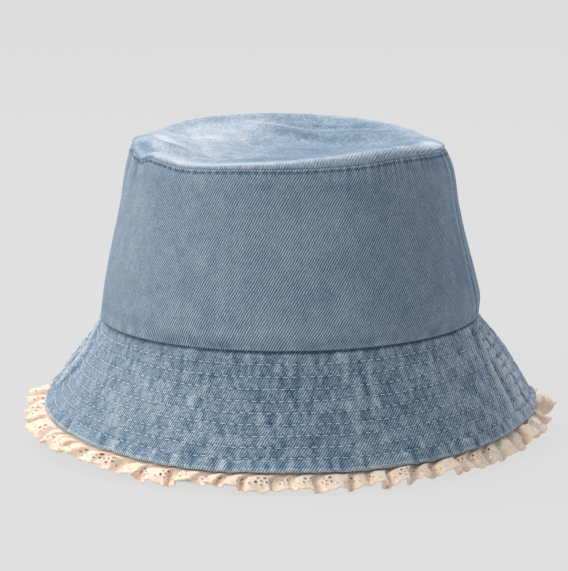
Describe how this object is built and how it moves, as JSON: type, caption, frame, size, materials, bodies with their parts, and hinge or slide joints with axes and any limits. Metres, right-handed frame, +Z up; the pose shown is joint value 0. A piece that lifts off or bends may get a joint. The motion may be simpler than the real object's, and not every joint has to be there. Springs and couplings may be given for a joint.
{
  "type": "bucket hat",
  "caption": "Oval bucket hat with a sunken tip, tapered crown, stitched sloping brim and gathered eyelet lace edge.",
  "frame": {"origin": "middle of the hat on the surface that it stands on, below the crown", "axes": "+Z up towards the crown's tip, -Y towards the wearer's front, +X through one side seam"},
  "size_m": [0.2528, 0.2812, 0.1438],
  "materials": {
    "denim": "washed twill",
    "thread": "matte spun thread",
    "lace_cotton": "matte cotton",
    "lining_cotton": "matte plain weave",
    "interlining": "matte non-woven",
    "sweatband_tape": "washed twill"
  },
  "bodies": {
    "root": {"crown_tip": "denim", "crown_side_front": "denim", "crown_side_back": "denim", "lining_tip": "lining_cotton", "lining_side_front": "lining_cotton", "lining_side_back": "lining_cotton", "sweatband": "sweatband_tape", "brim_upper_front": "denim", "brim_upper_back": "denim", "brim_interlining_front": "interlining", "brim_interlining_back": "interlining", "brim_lower_front": "denim", "brim_lower_back": "denim", "lace_ruffle": "lace_cotton", "tip_topstitch": "thread", "sweatband_stitch": "thread", "brim_stitch_row_1": "thread", "brim_stitch_row_2": "thread", "brim_stitch_row_3": "thread", "brim_stitch_row_4": "thread", "brim_stitch_row_5": "thread", "brim_stitch_row_6": "thread", "brim_stitch_row_7": "thread", "brim_stitch_row_8": "thread", "brim_stitch_row_9": "thread"}
  },
  "joints": []
}
